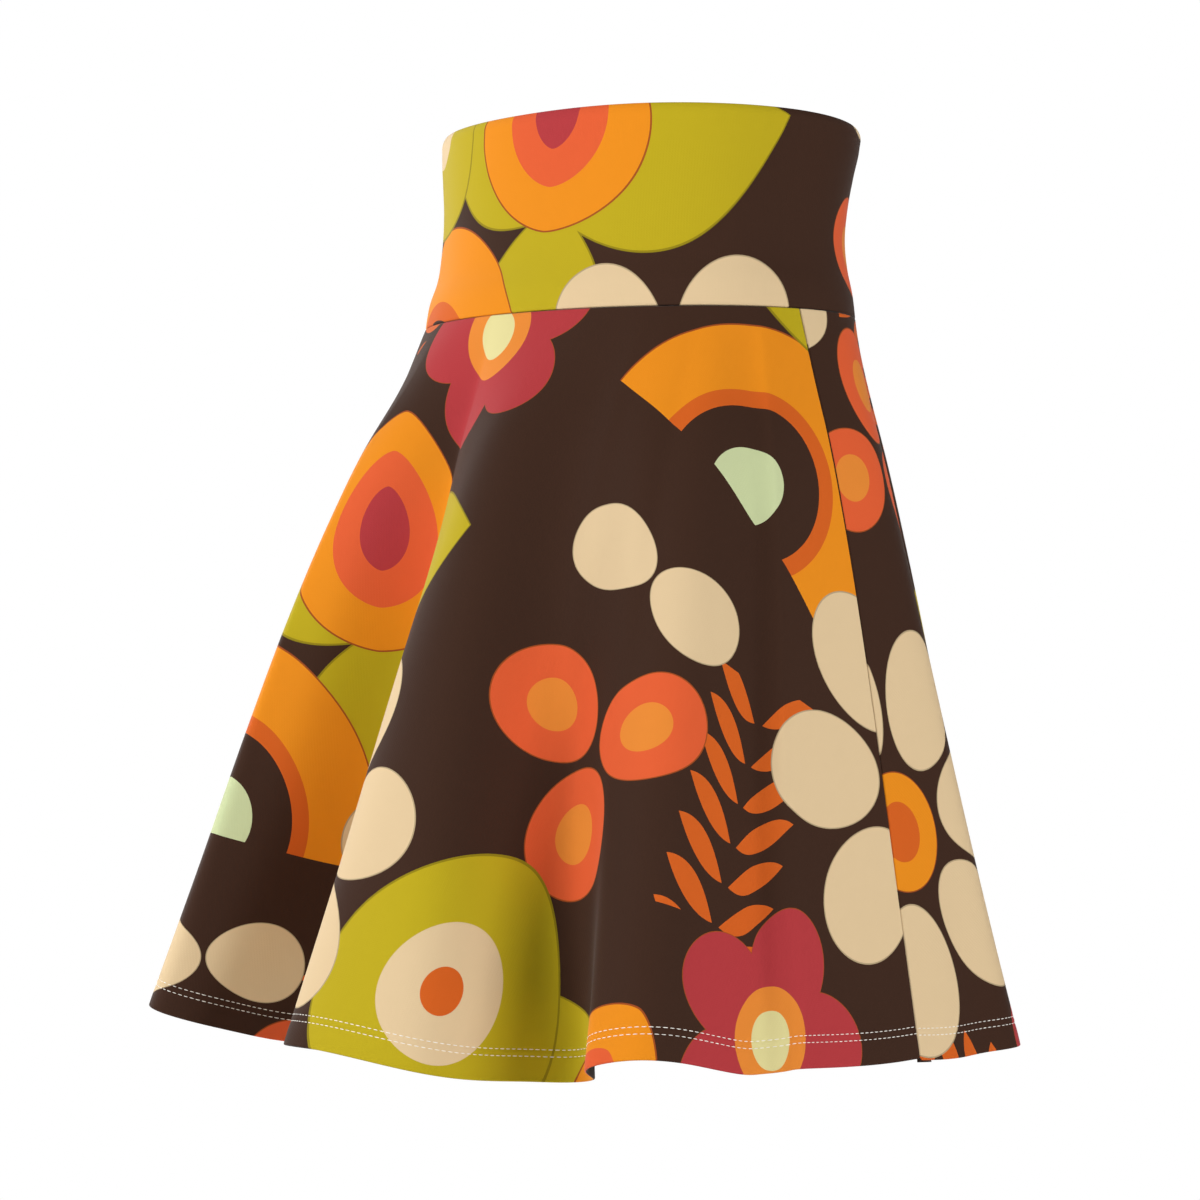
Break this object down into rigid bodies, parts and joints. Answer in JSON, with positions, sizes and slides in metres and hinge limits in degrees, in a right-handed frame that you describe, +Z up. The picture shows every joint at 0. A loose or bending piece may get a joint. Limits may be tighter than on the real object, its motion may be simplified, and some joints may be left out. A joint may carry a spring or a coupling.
{
  "type": "circle skirt",
  "caption": "Short flared knit skirt with a deep fitted waistband, hanging in soft folds as worn, open at waist and hem, with a narrow stitched hem.",
  "frame": {"origin": "on the axis of the waist, half way up the waistband, where the wearer holds the skirt", "axes": "+Z up, +X to the wearer's left, -Y to the wearer's front"},
  "size_m": [0.4286, 0.4087, 0.4574],
  "materials": {
    "waistband_knit": "satin",
    "front_knit": "satin",
    "back_knit": "satin"
  },
  "bodies": {
    "root": {"waistband": "waistband_knit", "front_panel": "front_knit", "back_panel": "back_knit"}
  },
  "joints": []
}
